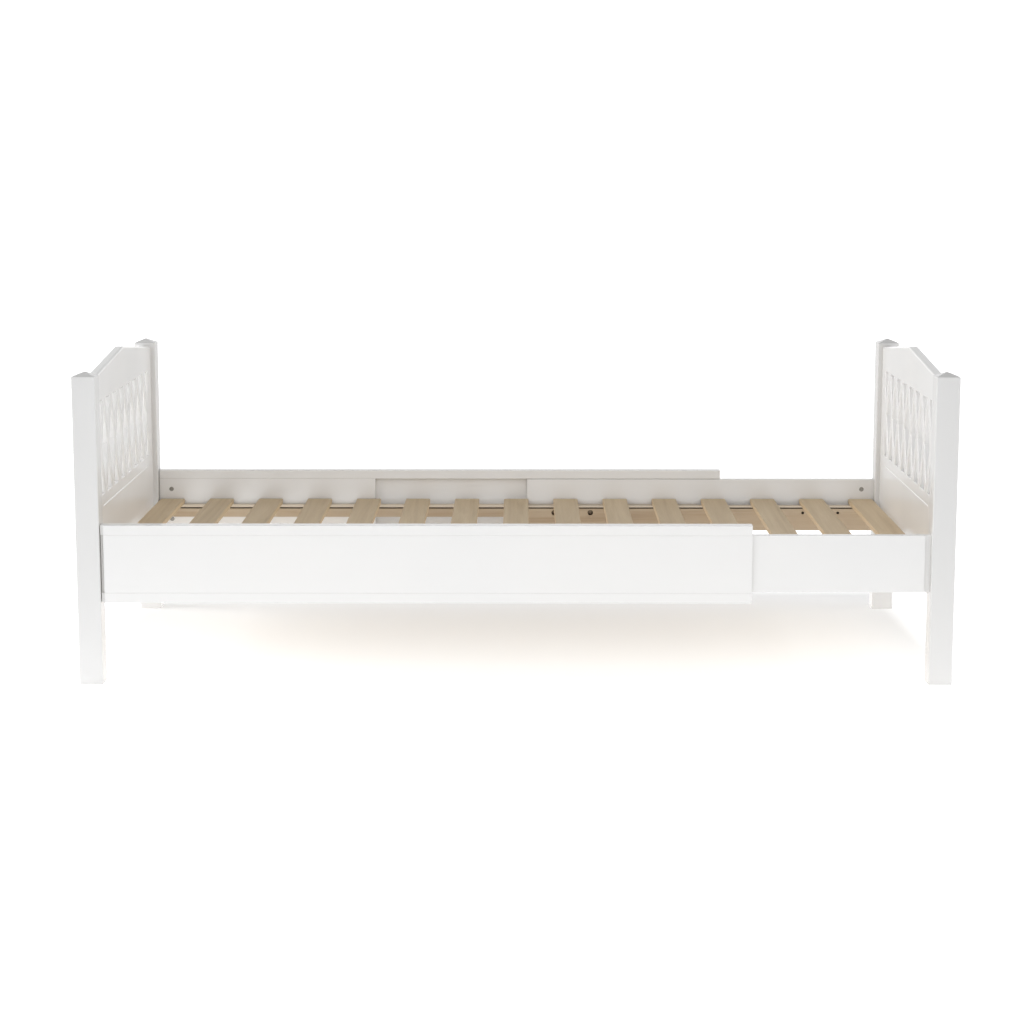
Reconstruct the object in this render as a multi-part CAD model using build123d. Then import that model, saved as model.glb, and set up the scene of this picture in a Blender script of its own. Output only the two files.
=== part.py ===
from build123d import *
import os

# Extending child's bed: two lattice end frames joined by telescoping side rails.
# X runs from the head end (-) to the foot end (+), Y from front (-) to back (+), Z up.
# The origin is on the floor, midway between the four posts. All sizes in millimetres.

# overall
LENGTH = 2100.0            # outside the posts, bed drawn out
WIDTH = 981.0              # outside the posts
TRAVEL = 400.0             # how far the foot half slides into the head half

# posts
POST = 57.0                # square section
POST_SHOULDER = 742.0      # where the pyramid top starts
POST_TOP = 753.0
POST_TIP = 2.0             # flat left at the top of the pyramid
POST_ROUND = 3.0           # upright corners

# telescoping side rails
RAIL_SET_IN = 3.0          # outer rail behind the outer face of the posts
RAIL_T = 32.5              # outer rail over its strips
RAIL_BOTTOM = 199.0
RAIL_TOP = 387.0
STRIP_H = 24.0
FACE_T = 10.0
RAIL_EDGE = 0.8            # bevel along the rails
INNER_SHOWS = 427.5        # inner rail left showing when the bed is drawn out
OVERLAP = 535.5            # inner rail still in the channel then
STOP_SPARE = 22.0          # channel left past the travel, before the filler block
SLIDE_PLAY = 0.5
INNER_PLAY_Z = 1.0
HEAD_GAP = 1.5             # shadow gap between post and outer rail
HEAD_STEP = 7.5            # extra step of that gap on the outside
FOOT_STEP = 14.0           # stepped end of the inner rail, outside only
STEP_DEPTH = 5.0
TONGUE_INSET = 5.0         # tongue of the filler block, in from its faces

# end panels
PANEL_T = 24.0
PANEL_SET_IN = 12.5        # panel face behind the inner face of the posts
PANEL_SHOULDER = 733.0     # height where the gable meets the posts
PANEL_PEAK = 772.0
PEAK_ROUND = 120.0
PANEL_EDGE = 5.0           # rounding along the gable
STILE = 63.5               # plain board between post and lattice
LATTICE_PITCH = 101.5
LATTICE_MID = 556.0
LATTICE_HALF_H = 115.0
LATTICE_RISE = 129.0       # height of half a lattice cell, bar centre to bar centre
BAR_SHARE = 0.26           # part of each cell taken up by the bars
LATTICE_EDGE = 1.5         # bevel round the openings
LEAST_OPENING = 10.0       # a cell cut narrower than this by the stile is left solid
GROOVE_RISE = 26.5         # middle of the decorative V groove above the rails
GROOVE_DEPTH = 2.0
GROOVE_MARGIN = 85.5       # plain board between post and groove

# slat ledges
LEDGE_RISE = 94.0          # top of the ledges above the underside of the rails
HEAD_LEDGE_H = 34.5
HEAD_LEDGE_T = 16.0
HEAD_LEDGE_SHORT = 65.5    # how far it stops before the free end of the outer rail
FOOT_LEDGE_T = 34.5
FOOT_LEDGE_GAP = 1.0       # foot ledge to post
LEDGE_GROOVE_H = 3.6
HEAD_GROOVE_DROP = 9.6     # middle of the groove below the top of the ledge
FOOT_GROOVE_DROP = 6.8
LEDGE_GROOVE_DEPTH = 7.0
WIDE_HOLE = 15.0           # blind holes near the free end of the foot ledge
WIDE_HOLE_PLACES = (75.0, 175.0)
NARROW_HOLE = 8.0          # and near its post
NARROW_HOLE_PLACES = (103.0, 200.0)
LEDGE_HOLE_DROP = 20.0
LEDGE_HOLE_DEPTH = 12.0

# slats
SLATS = 15
SLAT_W = 67.0
SLAT_T = 14.0
SLAT_END_PLAY = 2.0        # slat end to rail
SLAT_MARGIN = 3.5          # first and last slat to the posts
SLAT_EDGE = 2.5
SLAT_LIFT = 0.3            # running clearance under the loose slats

# frame bolts and barrel nuts
BOLT_R = 4.0
BOLT_HOLE_R = 4.3
BOLT_HEAD_R = 8.0
BOLT_HEAD_H = 5.0
SINK_R = 8.6
SINK_DEPTH = 6.0
BOLT_INSET = 11.0          # bolt axis behind the inner face of the rail
BOLT_DROP = 53.0           # upper bolt below the top of the rail
BOLT_RISE = 51.0           # lower bolt above the underside of the rail
NUT_BACK = 34.0            # barrel nut from the post
NUT_R = 6.25
NUT_LENGTH = 18.0
NUT_DEPTH = 0.6            # below the face of the rail
NUT_SLOT = 1.6
BOLT_HOLE_PAST_NUT = 10.0
HEX_R = 3.0
HEX_DEPTH = 3.0

# places worked out from the sizes above
POST_X = LENGTH / 2 - POST / 2
POST_Y = WIDTH / 2 - POST / 2
POST_IN_X = LENGTH / 2 - POST
POST_IN_Y = WIDTH / 2 - POST
RAIL_OUT = WIDTH / 2 - RAIL_SET_IN
RAIL_IN = RAIL_OUT - RAIL_T
RAIL_HEAD = -POST_IN_X + HEAD_GAP
OUTER_END = POST_IN_X - INNER_SHOWS
INNER_END = OUTER_END - OVERLAP
BLOCK_END = INNER_END - TRAVEL - STOP_SPARE
CHANNEL_BOTTOM = RAIL_BOTTOM + STRIP_H
CHANNEL_TOP = RAIL_TOP - STRIP_H
PANEL_IN = POST_IN_X + PANEL_SET_IN
LATTICE_HALF_W = POST_IN_Y - STILE
LEDGE_TOP = RAIL_BOTTOM + LEDGE_RISE
SLAT_REACH = POST_IN_X - SLAT_MARGIN - SLAT_W / 2
BOLT_Y = RAIL_IN + BOLT_INSET
BOLT_Z = (RAIL_TOP - BOLT_DROP, RAIL_BOTTOM + BOLT_RISE)
NUT_X = POST_IN_X - NUT_BACK


def block(x0, x1, y0, y1, z0, z1):
    """Solid box between two corners, given in any order."""
    return Pos((x0 + x1) / 2, (y0 + y1) / 2, (z0 + z1) / 2) * Box(abs(x1 - x0), abs(y1 - y0), abs(z1 - z0))


def rod_x(x0, x1, y, z, r):
    """Round bar along X."""
    return Pos((x0 + x1) / 2, y, z) * Rot(0, 90, 0) * Cylinder(r, abs(x1 - x0))


def rod_y(y0, y1, x, z, r):
    """Round bar along Y."""
    return Pos(x, (y0 + y1) / 2, z) * Rot(90, 0, 0) * Cylinder(r, abs(y1 - y0))


def bolt_places(side):
    """Y and Z of the two bolts of one rail."""
    return [(side * BOLT_Y, z) for z in BOLT_Z]


def post(end, side):
    """Square post with a low pyramid top and two counterbored bolt holes."""
    x, y = end * POST_X, side * POST_Y
    stem = extrude(Pos(x, y, 0) * RectangleRounded(POST, POST, POST_ROUND), POST_SHOULDER)
    cap = loft([Pos(x, y, POST_SHOULDER) * RectangleRounded(POST, POST, POST_ROUND),
                Pos(x, y, POST_TOP) * RectangleRounded(POST_TIP, POST_TIP, 0.45 * POST_TIP)])
    body = stem + cap
    for by, bz in bolt_places(side):
        body -= rod_x(end * (POST_IN_X - 1), end * (LENGTH / 2 + 1), by, bz, BOLT_HOLE_R)
        body -= rod_x(end * (LENGTH / 2 - SINK_DEPTH), end * (LENGTH / 2 + 1), by, bz, SINK_R)
    return body


def lattice_openings():
    """Faces of the lattice openings, across and up from the middle of the lattice."""
    a, b = LATTICE_PITCH / 2 * (1 - BAR_SHARE), LATTICE_RISE * (1 - BAR_SHARE)
    window = Rectangle(2 * LATTICE_HALF_W, 2 * LATTICE_HALF_H)
    columns = int(LATTICE_HALF_W / LATTICE_PITCH) + 2
    cells = []
    for row in (-1, 0, 1):
        for k in range(-columns, columns + 1):
            across = (k + 0.5 * abs(row)) * LATTICE_PITCH
            if abs(across) - a > LATTICE_HALF_W - LEAST_OPENING:
                continue
            diamond = make_face(Polyline((-a, 0), (0, -b), (a, 0), (0, b), close=True))
            cells.append((Pos(across, row * LATTICE_RISE) * diamond & window).face())
    return cells


def end_panel(end):
    """Gabled panel between two posts, cut through with the lattice and grooved below it."""
    w = POST_IN_Y
    x0 = min(end * PANEL_IN, end * (PANEL_IN + PANEL_T))
    plane = Plane(origin=(x0, 0, 0), x_dir=(0, 1, 0), z_dir=(1, 0, 0))
    outline = make_face(Polyline((-w, RAIL_BOTTOM), (w, RAIL_BOTTOM), (w, PANEL_SHOULDER),
                                 (0, PANEL_PEAK), (-w, PANEL_SHOULDER), close=True))
    board = extrude(plane * outline, PANEL_T)
    ridge = board.edges().filter_by(Axis.X).sort_by(Axis.Z)[-1]
    board = fillet(ridge, PEAK_ROUND)
    tops = [e for e in board.edges() if e.center().Z > PANEL_SHOULDER + 1 and not
            (abs(e.tangent_at(0.5).X) > 0.9)]
    board = fillet(tops, PANEL_EDGE)
    for opening in lattice_openings():
        cutter = extrude(plane * Pos(0, LATTICE_MID) * opening, PANEL_T)
        ends = cutter.faces().sort_by(Axis.X)
        board -= cutter
        for face, way in ((ends[0], -1), (ends[-1], 1)):
            wide = offset(face, LATTICE_EDGE, kind=Kind.INTERSECTION)
            near = Pos(-way * LATTICE_EDGE, 0, 0) * face
            board -= loft([near.face(), wide.face()])
    bar = GROOVE_DEPTH * 2 ** 0.5
    groove = Rot(0, 45, 0) * Box(bar, 2 * (POST_IN_Y - GROOVE_MARGIN), bar)
    return board - Pos(end * PANEL_IN, 0, RAIL_TOP + GROOVE_RISE) * groove


def outer_strip(side, top):
    """Top or bottom strip of an outer rail, its head end stepped back from the post."""
    z0 = CHANNEL_TOP if top else RAIL_BOTTOM
    z1 = z0 + STRIP_H
    strip = block(RAIL_HEAD, OUTER_END, side * RAIL_IN, side * RAIL_OUT, z0, z1)
    strip = chamfer(strip.edges().filter_by(Axis.X), RAIL_EDGE)
    step = block(RAIL_HEAD - 1, RAIL_HEAD + HEAD_STEP,
                 side * (RAIL_OUT - STEP_DEPTH), side * (RAIL_OUT + 1), z0 - 1, z1 + 1)
    return strip - step


def outer_face(side):
    """Thin board closing the outside of an outer rail between its two strips."""
    board = block(RAIL_HEAD + HEAD_STEP, OUTER_END,
                  side * (RAIL_OUT - FACE_T), side * RAIL_OUT, CHANNEL_BOTTOM, CHANNEL_TOP)
    edges = board.edges().filter_by(Axis.X).sort_by(Axis.Y)
    return chamfer(edges[2:] if side > 0 else edges[:2], RAIL_EDGE)


def stop_block(side):
    """Filler at the head end of the channel: carries the bolts and stops the inner rail."""
    z0, z1 = CHANNEL_BOTTOM, CHANNEL_TOP
    y1 = RAIL_OUT - FACE_T
    body = block(RAIL_HEAD, BLOCK_END, side * RAIL_IN, side * y1, z0, z1)
    body += block(-POST_IN_X, RAIL_HEAD, side * (RAIL_IN + TONGUE_INSET), side * (y1 - TONGUE_INSET), z0, z1)
    for by, bz in bolt_places(side):
        body -= rod_x(-POST_IN_X - 1, -NUT_X + BOLT_HOLE_PAST_NUT, by, bz, BOLT_HOLE_R)
        body -= rod_y(side * (RAIL_IN - 1), side * (RAIL_IN + NUT_DEPTH + NUT_LENGTH), -NUT_X, bz, NUT_R)
    return body


def inner_rail(side):
    """Board of the foot half that runs in the channel of the outer rail."""
    y0, y1 = RAIL_IN + SLIDE_PLAY, RAIL_OUT - FACE_T - SLIDE_PLAY
    z0, z1 = CHANNEL_BOTTOM + INNER_PLAY_Z, CHANNEL_TOP - INNER_PLAY_Z
    body = block(INNER_END, POST_IN_X, side * y0, side * y1, z0, z1)
    body = chamfer(body.edges().filter_by(Axis.X), RAIL_EDGE)
    body -= block(POST_IN_X - FOOT_STEP, POST_IN_X + 1,
                  side * (y1 - STEP_DEPTH), side * (y1 + 1), z0 - 1, z1 + 1)
    for by, bz in bolt_places(side):
        body -= rod_x(NUT_X - BOLT_HOLE_PAST_NUT, POST_IN_X + 1, by, bz, BOLT_HOLE_R)
        body -= rod_y(side * (y0 - 1), side * (y0 + NUT_DEPTH + NUT_LENGTH), NUT_X, bz, NUT_R)
    return body


def ledge_groove(side, y0, drop):
    """Cutter for the groove along the face of a ledge whose face is at y0."""
    z, g = LEDGE_TOP - drop, LEDGE_GROOVE_H / 2
    return block(-LENGTH, LENGTH, side * (y0 - 1), side * (y0 + LEDGE_GROOVE_DEPTH), z - g, z + g)


def head_ledge(side):
    """Slat ledge of the head half; its free tongue runs in the rebate of the foot ledge."""
    y0 = RAIL_IN - HEAD_LEDGE_T
    body = block(RAIL_HEAD, OUTER_END - HEAD_LEDGE_SHORT, side * y0, side * RAIL_IN,
                 LEDGE_TOP - HEAD_LEDGE_H, LEDGE_TOP)
    return body - ledge_groove(side, y0, HEAD_GROOVE_DROP)


def foot_ledge(side):
    """Slat ledge of the foot half: full board with a rebate behind for the head ledge."""
    y1 = RAIL_IN + SLIDE_PLAY
    y0 = y1 - FOOT_LEDGE_T
    x1 = POST_IN_X - FOOT_LEDGE_GAP
    body = block(INNER_END, x1, side * y0, side * y1, CHANNEL_BOTTOM + INNER_PLAY_Z, LEDGE_TOP)
    body -= block(INNER_END - 1, POST_IN_X, side * (RAIL_IN - HEAD_LEDGE_T - SLIDE_PLAY), side * (y1 + 1),
                  LEDGE_TOP - HEAD_LEDGE_H - SLIDE_PLAY, LEDGE_TOP + 1)
    body -= ledge_groove(side, y0, FOOT_GROOVE_DROP)
    holes = [(INNER_END + place, WIDE_HOLE) for place in WIDE_HOLE_PLACES]
    holes += [(POST_IN_X - place, NARROW_HOLE) for place in NARROW_HOLE_PLACES]
    for x, d in holes:
        body -= rod_y(side * (y0 - 1), side * (y0 + LEDGE_HOLE_DEPTH), x, LEDGE_TOP - LEDGE_HOLE_DROP, d / 2)
    return body


def slat(number):
    """Flat cross slat with eased edges; the first and last are fixed to their ledges."""
    x = -SLAT_REACH + (number - 1) * 2 * SLAT_REACH / (SLATS - 1)
    z = LEDGE_TOP + (0 if number in (1, SLATS) else SLAT_LIFT)
    half = RAIL_IN - SLAT_END_PLAY
    body = block(x - SLAT_W / 2, x + SLAT_W / 2, -half, half, z, z + SLAT_T)
    return fillet(body.edges().filter_by(Axis.Y), SLAT_EDGE)


def bolts(end):
    """Four frame bolts of one end: sunk round heads with a hexagon socket."""
    group = []
    for side in (-1, 1):
        for y, z in bolt_places(side):
            seat = LENGTH / 2 - SINK_DEPTH
            head = rod_x(end * seat, end * (seat + BOLT_HEAD_H), y, z, BOLT_HEAD_R)
            shank = rod_x(end * (NUT_X - NUT_R), end * seat, y, z, BOLT_R)
            face = Plane(origin=(end * (seat + BOLT_HEAD_H), y, z), x_dir=(0, 1, 0), z_dir=(end, 0, 0))
            socket = extrude(face * RegularPolygon(HEX_R, 6), -HEX_DEPTH)
            group.append(head + shank - socket)
    return Compound(children=group)


def barrel_nuts(end):
    """Four barrel nuts of one end, slotted on the face that shows inside the rail."""
    inner = RAIL_IN if end < 0 else RAIL_IN + SLIDE_PLAY
    group = []
    for side in (-1, 1):
        for y, z in bolt_places(side):
            y0 = inner + NUT_DEPTH
            nut = rod_y(side * y0, side * (y0 + NUT_LENGTH), end * NUT_X, z, NUT_R)
            nut -= rod_x(end * (NUT_X - NUT_R - 1), end * (NUT_X + NUT_R + 1), y, z, BOLT_R)
            nut -= block(end * NUT_X - 5, end * NUT_X + 5, side * y0, side * (y0 + 1.5),
                         z - NUT_SLOT / 2, z + NUT_SLOT / 2)
            group.append(nut)
    return Compound(children=group)


def build():
    parts = {}
    for end, half in ((-1, "head"), (1, "foot")):
        parts[half + "_panel"] = end_panel(end)
        parts[half + "_bolts"] = bolts(end)
        parts[half + "_barrel_nuts"] = barrel_nuts(end)
        for side, place in ((-1, "front"), (1, "back")):
            parts[half + "_post_" + place] = post(end, side)
    for side, place in ((-1, "front"), (1, "back")):
        parts["outer_rail_top_" + place] = outer_strip(side, True)
        parts["outer_rail_bottom_" + place] = outer_strip(side, False)
        parts["outer_rail_face_" + place] = outer_face(side)
        parts["stop_block_" + place] = stop_block(side)
        parts["inner_rail_" + place] = inner_rail(side)
        parts["head_ledge_" + place] = head_ledge(side)
        parts["foot_ledge_" + place] = foot_ledge(side)
    for number in range(1, SLATS + 1):
        parts["slat_%02d" % number] = slat(number)
    return parts


os.makedirs("parts", exist_ok=True)
for name, shape in build().items():
    export_step(shape, "parts/" + name + ".step")
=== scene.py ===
import math

import bpy
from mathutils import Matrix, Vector


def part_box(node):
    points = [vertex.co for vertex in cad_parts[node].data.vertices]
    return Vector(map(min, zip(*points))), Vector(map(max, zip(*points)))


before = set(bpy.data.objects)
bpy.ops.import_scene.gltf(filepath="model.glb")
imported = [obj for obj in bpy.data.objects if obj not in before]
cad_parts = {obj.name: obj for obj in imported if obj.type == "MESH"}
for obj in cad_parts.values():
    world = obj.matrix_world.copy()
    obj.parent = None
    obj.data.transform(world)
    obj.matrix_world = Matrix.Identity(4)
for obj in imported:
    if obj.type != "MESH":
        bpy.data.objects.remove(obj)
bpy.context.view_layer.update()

# Extending child's bed. X runs from the head end (-) to the foot end (+), Y from front (-)
# to back (+), Z up, in metres, with the origin on the floor midway between the four posts.

# camera
CAMERA_PLACE = (0.0141, -6.0364, 1.3076)
CAMERA_DOWN = 9.085          # degrees below level
CAMERA_LEFT = 0.23           # degrees turned to the left
CAMERA_LENS = 83.0
CAMERA_FAR = 200.0           # how far away it still sees things
SENSOR = 36.0

# the floor and the light that it gives off
FLOOR_SIZE = 60.0
FLOOR_COLOUR = (0.755, 0.765, 0.775)
FLOOR_CLOUD = 1.3            # scale of its faint clouds
FLOOR_CLOUD_SHADE = 0.985    # share of the colour in them
FLOOR_ROUGHNESS = 0.9
FLOOR_REACH = (1.6, 1.0)     # half length and half width of the floor round the bed
FLOOR_ROUND_FADE = (0.35, 0.8)  # shares of that reach from under the bed to round it
FLOOR_FAR_FADE = (0.9, 1.9)  # and from there to further out
FLOOR_MIDDLE = (-0.3, 0.3)   # the far floor turns from before to behind the bed between these
FLOOR_GLOW_UNDER = 0.33
FLOOR_GLOW_NEAR = 0.74
FLOOR_GLOW_BEHIND = 0.36
FLOOR_GLOW_BEFORE = 0.13

# what the camera sees of the floor's glow, which is set apart from the light it gives off: full glow
# beyond these limits, and a weaker one inside them, from the bed's back to its front: a painted
# shadow
FLOOR_CLEAR_SIDE = (0.9, 1.2)
FLOOR_CLEAR_BACK = (0.5, 0.85)
FLOOR_CLEAR_FRONT = (-0.15, -0.65)
# painted shadow under the bed: where it runs from back to front, and its glow there from back to
# front
FLOOR_PAINTED_SHADOW_RUN = (0.45, -0.45)
FLOOR_PAINTED_SHADOW = (0.34, 0.57)

# light
BACKDROP = 1.6               # brightness of the surroundings behind the bed, near the floor
BACKDROP_TOP = 0.35          # sine of the height at which that has faded out
BACKDROP_SEEN = 1.1          # least brightness with which the camera sees the surroundings
CEILING = 0.78               # brightness of the surroundings above it
CEILING_FADE = (0.5, 0.85, 0.36)    # sines between which that fades, and to which share of it
CEILING_BEFORE = 0.80        # share of it in front of the bed
LAMPS = {                    # place, point aimed at, width and height, watts
    "front_lamp": ((0, -4.6, 1.7), (0, 0, 0.35), (3.0, 1.2), 21),
    "low_lamp": ((0, -3.4, 0.45), (0, 0, 0.25), (3.0, 0.6), 8),
    "left_lamp": ((-4.0, 0.3, 1.1), (0, 0, 0.4), (2.0, 2.0), 88),
    "front_left_lamp": ((-3.4, -3.2, 2.0), (0, 0, 0.4), (1.8, 1.8), 22),
    "right_lamp": ((4.0, 0.3, 1.1), (0, 0, 0.4), (2.0, 2.0), 28),
    "front_right_lamp": ((3.4, -3.2, 2.0), (0, 0, 0.4), (1.8, 1.8), 15),
}

# paint
PAINT_COOL = (0.862, 0.858, 0.851)
PAINT_WARM = (0.876, 0.868, 0.856)
PAINT_ON_GRAIN = (0.82, 0.815, 0.80)
# colour of the painted shade in corners and recesses
PAINT_IN_PAINTED_SHADE = (0.68, 0.665, 0.64)
PAINT_ROUGHNESS = (0.19, 0.24)
PAINTS = {                   # grain axis, reach of the painted corner shade, painted shade of the whole paint, pieces
    # painted shade: the posts get the same paint 10 % darker, for shade that the lamps here don't
    # give them
    "paint_upright": ("z", 0.024, 0.90, ("head_post", "foot_post")),
    "paint_across": ("y", 0.001, 1.0, ("head_panel", "foot_panel")),
    "paint_lengthwise": ("x", 0.014, 1.0, ("outer_rail", "inner_rail", "stop_block")),
}

# bare wood: light, middle and dark tone
LEDGE_TONES = ((0.60, 0.505, 0.385), (0.55, 0.445, 0.32), (0.41, 0.305, 0.21))
LEDGE_BOARD = 2.0            # distance over which the tone of the ledges changes
HIGHLIGHT_STRIP = 0.008           # height of the painted highlight, a paler strip along the top of the ledges where light catches them
HIGHLIGHT_WOOD = (0.82, 0.76, 0.66)
HIGHLIGHT_SHARE = 0.45
HIGHLIGHT_EDGE = 0.001            # half of the height over which it sets in
SLAT_TONES = ((0.76, 0.61, 0.41), (0.69, 0.54, 0.35), (0.56, 0.42, 0.26))
SLAT_BOARD = 0.1366          # the tone changes about once from slat to slat
SLAT_SIDE_SHADE = 0.9              # how far the upright sides of the slats go to the dark tone, as painted shade between them
WOOD_SHADE_DEPTH = 0.008              # depth over which grooves and holes in bare wood darken with painted shade
CREVICE_SHADE = 0.2          # share of the dark tone deep inside them
WOOD_ROUGHNESS = (0.52, 0.68)
WOOD_SPECULAR = 0.3

# steel
STEEL_TONES = ((0.40, 0.395, 0.38), (0.28, 0.27, 0.25))
STEEL_ROUGHNESS = (0.34, 0.52)

AXES = {"x": 0, "y": 1, "z": 2}
UPRIGHT_SIDES = {"x": "Y", "y": "X"}   # which way the upright sides of a board along an axis face
EVEN = (1, 1, 1)
AO_SAMPLES = 6


# ---------------------------------------------------------------- node helpers

def new_material(name):
    """New node material; returns it with its tree and its shader."""
    material = bpy.data.materials.new(name)
    material.use_nodes = True
    tree = material.node_tree
    return material, tree, tree.nodes["Principled BSDF"]


def add(tree, kind, **values):
    """New node with some of its properties or inputs set."""
    node = tree.nodes.new(kind)
    for key, value in values.items():
        if hasattr(node, key):
            setattr(node, key, value)
        else:
            node.inputs[key.replace("_", " ")].default_value = value
    return node


def place(tree, scale):
    """Coordinates of the object itself, stretched by a scale for each axis."""
    coords = add(tree, "ShaderNodeTexCoord")
    mapping = add(tree, "ShaderNodeMapping")
    mapping.inputs["Scale"].default_value = scale
    tree.links.new(coords.outputs["Object"], mapping.inputs["Vector"])
    return mapping.outputs["Vector"]


def noise(tree, vector, scale, detail=2.0, rough=0.5, twist=0.0):
    """Value of a noise at some coordinates."""
    node = add(tree, "ShaderNodeTexNoise")
    node.inputs["Scale"].default_value = scale
    node.inputs["Detail"].default_value = detail
    node.inputs["Roughness"].default_value = rough
    node.inputs["Distortion"].default_value = twist
    tree.links.new(vector, node.inputs["Vector"])
    return node.outputs["Fac"]


def spread(tree, value, low, high, out_low=0.0, out_high=1.0):
    """Maps a value between two limits to two others, without running past them."""
    node = add(tree, "ShaderNodeMapRange", clamp=True, interpolation_type="SMOOTHSTEP")
    node.inputs["From Min"].default_value = low
    node.inputs["From Max"].default_value = high
    node.inputs["To Min"].default_value = out_low
    node.inputs["To Max"].default_value = out_high
    tree.links.new(value, node.inputs["Value"])
    return node.outputs["Result"]


def ramp(tree, value, stops):
    """Colour from a value, by a list of (position, colour) stops."""
    node = add(tree, "ShaderNodeValToRGB")
    elements = node.color_ramp.elements
    while len(elements) < len(stops):
        elements.new(0.5)
    for element, (position, colour) in zip(elements, stops):
        element.position = position
        element.color = (*colour, 1.0)
    tree.links.new(value, node.inputs["Fac"])
    return node.outputs["Color"]


def mix(tree, factor, colour_a, colour_b):
    """Mixes two colours; factor and colours are output sockets or plain values."""
    node = add(tree, "ShaderNodeMix", data_type="RGBA", blend_type="MIX")
    sockets = (node.inputs[0], node.inputs[6], node.inputs[7])
    for socket, value in zip(sockets, (factor, colour_a, colour_b)):
        if hasattr(value, "is_linked"):
            tree.links.new(value, socket)
        elif isinstance(value, tuple):
            socket.default_value = (*value, 1.0)
        else:
            socket.default_value = value
    return node.outputs[2]


def maths(tree, kind, *values):
    """Sum, product and so on of output sockets or plain numbers."""
    node = add(tree, "ShaderNodeMath", operation=kind)
    for socket, value in zip(node.inputs, values):
        if hasattr(value, "is_linked"):
            tree.links.new(value, socket)
        else:
            socket.default_value = value
    return node.outputs["Value"]


def bump(tree, height, depth, strength, normal=None):
    """Normal roughened by a height, on top of another normal where one is given."""
    node = add(tree, "ShaderNodeBump")
    node.inputs["Strength"].default_value = strength
    node.inputs["Distance"].default_value = depth
    tree.links.new(height, node.inputs["Height"])
    if normal is not None:
        tree.links.new(normal, node.inputs["Normal"])
    return node.outputs["Normal"]


def along(axis, lengthwise, across):
    """Scale for each axis of something that is drawn out along one of them."""
    return tuple(lengthwise if AXES[axis] == i else across for i in range(3))


# ---------------------------------------------------------------- materials

def white_paint(name, axis, corner_shade_reach, painted_shade):
    """Sprayed satin paint on wood: fine orange peel, the grain hardly telling, painted shade in
    corners, the whole paint darkened by a painted shade factor.
    """
    material, tree, shader = new_material(name)
    grain = noise(tree, place(tree, along(axis, 2.0, 60.0)), 1.0, 4.0, 0.6, 0.4)
    peel = noise(tree, place(tree, EVEN), 620.0, 1.0)
    cloud = noise(tree, place(tree, EVEN), 2.6, 2.0)
    # painted shade over the whole piece: both tones are scaled down by it
    cool, warm = (tuple(painted_shade * c for c in colour) for colour in (PAINT_COOL, PAINT_WARM))
    tone = mix(tree, spread(tree, cloud, 0.3, 0.7), cool, warm)
    tone = mix(tree, spread(tree, grain, 0.35, 0.75, 0.0, 0.05), tone, PAINT_ON_GRAIN)
    # painted shade: corners and recesses darken with how enclosed they are, within the given reach
    occlusion_shade = add(tree, "ShaderNodeAmbientOcclusion", samples=AO_SAMPLES)
    occlusion_shade.inputs["Distance"].default_value = corner_shade_reach
    tone = mix(tree, spread(tree, occlusion_shade.outputs["AO"], 0.1, 0.8), PAINT_IN_PAINTED_SHADE, tone)
    tree.links.new(tone, shader.inputs["Base Color"])
    tree.links.new(spread(tree, cloud, 0.3, 0.7, *PAINT_ROUGHNESS), shader.inputs["Roughness"])
    tree.links.new(bump(tree, peel, 0.0002, 0.06, bump(tree, grain, 0.0004, 0.03)),
                   shader.inputs["Normal"])
    return material


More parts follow.
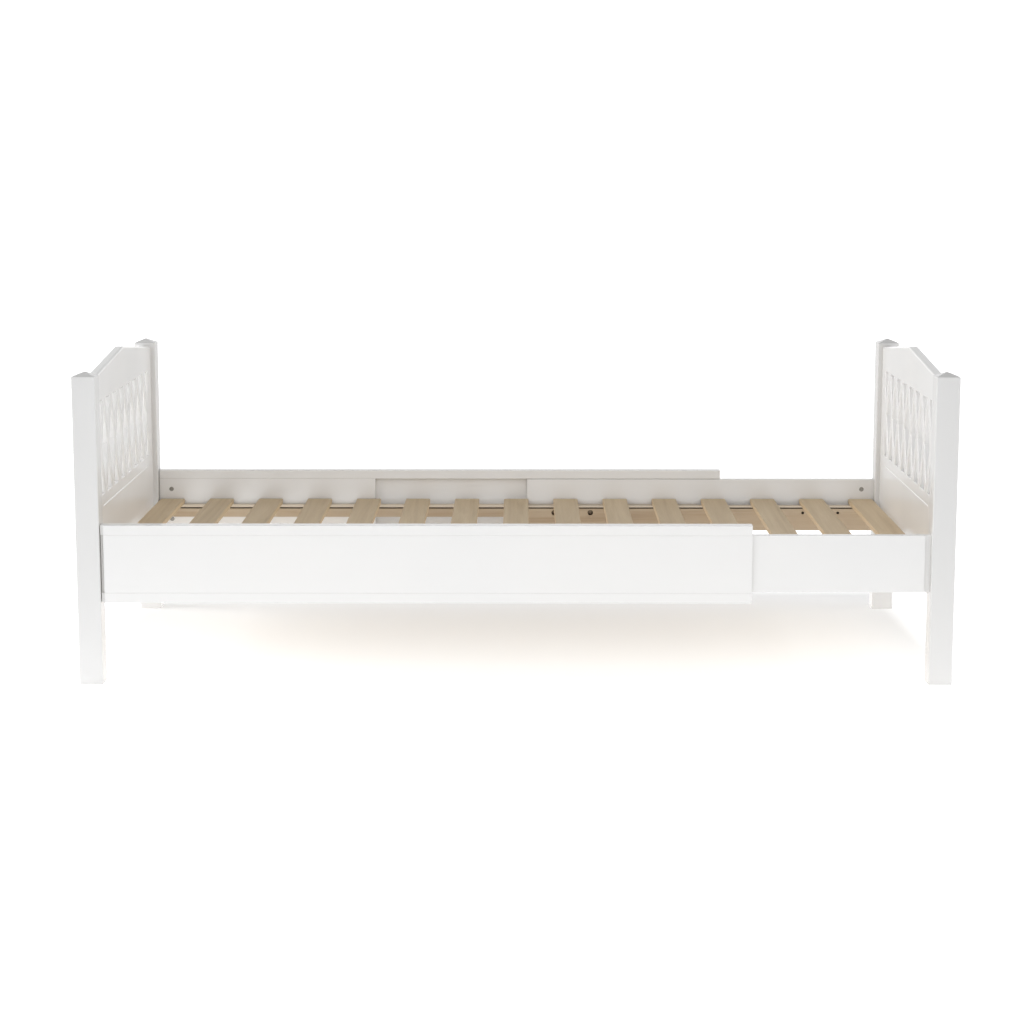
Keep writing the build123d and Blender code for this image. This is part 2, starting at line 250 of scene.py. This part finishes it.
def bare_wood(name, axis, tones, board_width, side_shade=0.0, highlight_above=None):
    """Planed, unfinished softwood: grain along one axis, painted shade on the upright sides and in
    grooves and holes, a painted highlight above a height.
    """
    light, middle, dark = tones
    material, tree, shader = new_material(name)
    swirl = noise(tree, place(tree, along(axis, 1.6, 9.0)), 1.0, 2.0, 0.5, 0.6)
    rings = noise(tree, place(tree, along(axis, 1.1, 34.0)), 1.0, 3.0, 0.55, 1.2)
    fibre = noise(tree, place(tree, along(axis, 22.0, 900.0)), 1.0, 3.0, 0.6)
    board = noise(tree, place(tree, along(axis, 0.01, 1.0 / board_width)), 1.0, 0.0)
    tone = ramp(tree, rings, ((0.25, dark), (0.45, middle), (0.62, light), (0.85, middle)))
    tone = mix(tree, spread(tree, swirl, 0.35, 0.7, 0.0, 0.35), tone, dark)
    tone = mix(tree, spread(tree, fibre, 0.3, 0.8, 0.0, 0.22), tone, dark)
    tone = mix(tree, spread(tree, board, 0.3, 0.7, 0.0, 0.25), tone, light)
    # painted highlight: the wood turns paler above a height, where light catches the top of the
    # ledges
    if highlight_above is not None:
        height = add(tree, "ShaderNodeSeparateXYZ")
        tree.links.new(place(tree, EVEN), height.inputs["Vector"])
        highlight_mask = spread(tree, height.outputs["Z"], highlight_above - HIGHLIGHT_EDGE, highlight_above + HIGHLIGHT_EDGE,
                      0.0, HIGHLIGHT_SHARE)
        tone = mix(tree, highlight_mask, tone, HIGHLIGHT_WOOD)
    # painted shade: grooves and holes in the bare wood go dark with how enclosed they are
    occlusion_shade = add(tree, "ShaderNodeAmbientOcclusion", only_local=True, samples=AO_SAMPLES)
    occlusion_shade.inputs["Distance"].default_value = WOOD_SHADE_DEPTH
    shadow = tuple(c * CREVICE_SHADE for c in dark)
    tone = mix(tree, spread(tree, occlusion_shade.outputs["AO"], 0.3, 0.95), shadow, tone)
    # painted shade on the upright sides of the boards, darker the more squarely they face sideways
    facing = add(tree, "ShaderNodeSeparateXYZ")
    tree.links.new(add(tree, "ShaderNodeTexCoord").outputs["Normal"], facing.inputs["Vector"])
    side_facing = maths(tree, "ABSOLUTE", facing.outputs[UPRIGHT_SIDES[axis]])
    tone = mix(tree, maths(tree, "MULTIPLY", side_facing, side_shade), tone, dark)
    tree.links.new(tone, shader.inputs["Base Color"])
    tree.links.new(spread(tree, fibre, 0.3, 0.8, *WOOD_ROUGHNESS), shader.inputs["Roughness"])
    shader.inputs["Specular IOR Level"].default_value = WOOD_SPECULAR
    tree.links.new(bump(tree, fibre, 0.00025, 0.35, bump(tree, rings, 0.0004, 0.25)),
                   shader.inputs["Normal"])
    return material


def dull_steel(name):
    """Zinc-plated steel of the bolts and barrel nuts, a little tarnished."""
    material, tree, shader = new_material(name)
    fine = noise(tree, place(tree, EVEN), 900.0, 3.0)
    patch = noise(tree, place(tree, EVEN), 160.0, 2.0)
    tone = mix(tree, spread(tree, patch, 0.35, 0.7), *STEEL_TONES)
    tree.links.new(tone, shader.inputs["Base Color"])
    shader.inputs["Metallic"].default_value = 1.0
    tree.links.new(spread(tree, fine, 0.3, 0.7, *STEEL_ROUGHNESS), shader.inputs["Roughness"])
    tree.links.new(bump(tree, fine, 0.0001, 0.15), shader.inputs["Normal"])
    return material


def dress(material, *beginnings):
    """Gives a material to every CAD node whose name starts with one of the words."""
    for name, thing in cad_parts.items():
        if name.startswith(beginnings):
            for slot in thing.material_slots:
                slot.material = material


# ---------------------------------------------------------------- the bed's finishes

for paint, (axis, corner_shade_reach, painted_shade, pieces) in PAINTS.items():
    dress(white_paint(paint, axis, corner_shade_reach, painted_shade), *pieces)
LEDGE_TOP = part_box("head_ledge_front")[1][2]
dress(bare_wood("ledge_wood", "x", LEDGE_TONES, LEDGE_BOARD, highlight_above=LEDGE_TOP - HIGHLIGHT_STRIP),
      "head_ledge", "foot_ledge")
dress(bare_wood("slat_wood", "y", SLAT_TONES, SLAT_BOARD, side_shade=SLAT_SIDE_SHADE), "slat")
dress(dull_steel("dull_steel"), "head_bolts", "foot_bolts", "head_barrel_nuts", "foot_barrel_nuts")


# ---------------------------------------------------------------- floor, light, camera

def floor_light(tree, along_y):
    """Glow with which the floor lights the bed: weak under it, full round it, less far out."""
    outward = add(tree, "ShaderNodeVectorMath", operation="LENGTH")
    tree.links.new(place(tree, (1 / FLOOR_REACH[0], 1 / FLOOR_REACH[1], 1)), outward.inputs[0])
    outward = outward.outputs["Value"]
    behind = spread(tree, along_y, *FLOOR_MIDDLE, FLOOR_GLOW_BEFORE, FLOOR_GLOW_BEHIND)
    far = spread(tree, outward, *FLOOR_FAR_FADE)
    near = maths(tree, "MULTIPLY",
                 spread(tree, outward, *FLOOR_ROUND_FADE, FLOOR_GLOW_UNDER, FLOOR_GLOW_NEAR),
                 maths(tree, "SUBTRACT", 1.0, far))
    return maths(tree, "ADD", near, maths(tree, "MULTIPLY", far, behind))


def floor_seen_with_painted_shadow(tree, along_x, along_y):
    """Glow with which the camera sees the floor: a painted shadow in pale grey near and under the
    bed, and white further out.
    """
    clear = maths(tree, "MAXIMUM",
                  spread(tree, maths(tree, "ABSOLUTE", along_x), *FLOOR_CLEAR_SIDE),
                  spread(tree, along_y, *FLOOR_CLEAR_BACK))
    clear = maths(tree, "MAXIMUM", clear, spread(tree, along_y, *FLOOR_CLEAR_FRONT))
    under = spread(tree, along_y, *FLOOR_PAINTED_SHADOW_RUN, *FLOOR_PAINTED_SHADOW)
    return maths(tree, "MAXIMUM", under, clear)


def floor():
    """Pale floor on which the bed stands, glowing a little as a lit sweep does, with a painted
    shadow under the bed where the camera sees it.
    """
    half = FLOOR_SIZE / 2
    mesh = bpy.data.meshes.new("floor")
    corners = [(-half, -half, 0), (half, -half, 0), (half, half, 0), (-half, half, 0)]
    mesh.from_pydata([Vector(c) for c in corners], [], [(0, 1, 2, 3)])
    thing = bpy.data.objects.new("floor", mesh)
    bpy.context.scene.collection.objects.link(thing)
    material, tree, shader = new_material("floor")
    cloud = noise(tree, place(tree, EVEN), FLOOR_CLOUD)
    tone = mix(tree, cloud, FLOOR_COLOUR, tuple(c * FLOOR_CLOUD_SHADE for c in FLOOR_COLOUR))
    tree.links.new(tone, shader.inputs["Base Color"])
    shader.inputs["Roughness"].default_value = FLOOR_ROUGHNESS
    shader.inputs["Emission Color"].default_value = (1.0, 1.0, 1.0, 1.0)
    coords = add(tree, "ShaderNodeTexCoord")
    split = add(tree, "ShaderNodeSeparateXYZ")
    tree.links.new(coords.outputs["Object"], split.inputs["Vector"])
    light = floor_light(tree, split.outputs["Y"])
    # what the camera sees: the floor with a painted shadow under the bed
    seen_with_shadow = floor_seen_with_painted_shadow(tree, split.outputs["X"], split.outputs["Y"])
    seen = add(tree, "ShaderNodeLightPath").outputs["Is Camera Ray"]
    unseen = maths(tree, "SUBTRACT", 1.0, seen)
    glow = maths(tree, "ADD", maths(tree, "MULTIPLY", light, unseen),
                 maths(tree, "MULTIPLY", seen_with_shadow, seen))
    tree.links.new(glow, shader.inputs["Emission Strength"])
    mesh.materials.append(material)


def surroundings():
    """Lit backdrop behind, dim above and in front, and pure white where the camera sees it."""
    world = bpy.data.worlds.new("studio")
    bpy.context.scene.world = world
    world.use_nodes = True
    tree = world.node_tree
    coords = add(tree, "ShaderNodeTexCoord")
    split = add(tree, "ShaderNodeSeparateXYZ")
    tree.links.new(coords.outputs["Generated"], split.inputs["Vector"])
    up = split.outputs["Z"]
    wall = spread(tree, up, 0.0, BACKDROP_TOP, BACKDROP, 0.0)
    behind = maths(tree, "MULTIPLY_ADD", split.outputs["Y"], 0.5, 0.5)
    above = spread(tree, up, 0.0, BACKDROP_TOP, 0.0, CEILING)
    low, high, share = CEILING_FADE
    above = maths(tree, "MULTIPLY", above, spread(tree, up, low, high, 1.0, share))
    above = maths(tree, "MULTIPLY", above, spread(tree, behind, 0.0, 1.0, CEILING_BEFORE, 1.0))
    strength = maths(tree, "ADD", maths(tree, "MULTIPLY", wall, behind), above)
    seen = add(tree, "ShaderNodeLightPath").outputs["Is Camera Ray"]
    strength = maths(tree, "MAXIMUM", strength, maths(tree, "MULTIPLY", seen, BACKDROP_SEEN))
    tree.links.new(strength, tree.nodes["Background"].inputs["Strength"])
    tree.nodes["Background"].inputs["Color"].default_value = (1.0, 1.0, 1.0, 1.0)


def softbox(name, place_at, aim, size, watts):
    """Rectangular area light that shines at a point and doesn't show to the camera."""
    light = bpy.data.lights.new(name, "AREA")
    light.shape = "RECTANGLE"
    light.size, light.size_y = size
    light.energy = watts
    thing = bpy.data.objects.new(name, light)
    bpy.context.scene.collection.objects.link(thing)
    thing.location = place_at
    thing.rotation_euler = (Vector(aim) - Vector(place_at)).to_track_quat("-Z", "Y").to_euler()
    thing.visible_camera = False


def camera():
    """Camera in front of the bed, a little above it."""
    data = bpy.data.cameras.new("camera")
    data.lens, data.sensor_width = CAMERA_LENS, SENSOR
    data.clip_end = CAMERA_FAR
    thing = bpy.data.objects.new("camera", data)
    bpy.context.scene.collection.objects.link(thing)
    thing.location = CAMERA_PLACE
    thing.rotation_euler = (math.radians(90 - CAMERA_DOWN), 0, math.radians(CAMERA_LEFT))
    bpy.context.scene.camera = thing


floor()
surroundings()
for name, facts in LAMPS.items():
    softbox(name, *facts)
camera()
bpy.context.scene.view_settings.view_transform = "Standard"
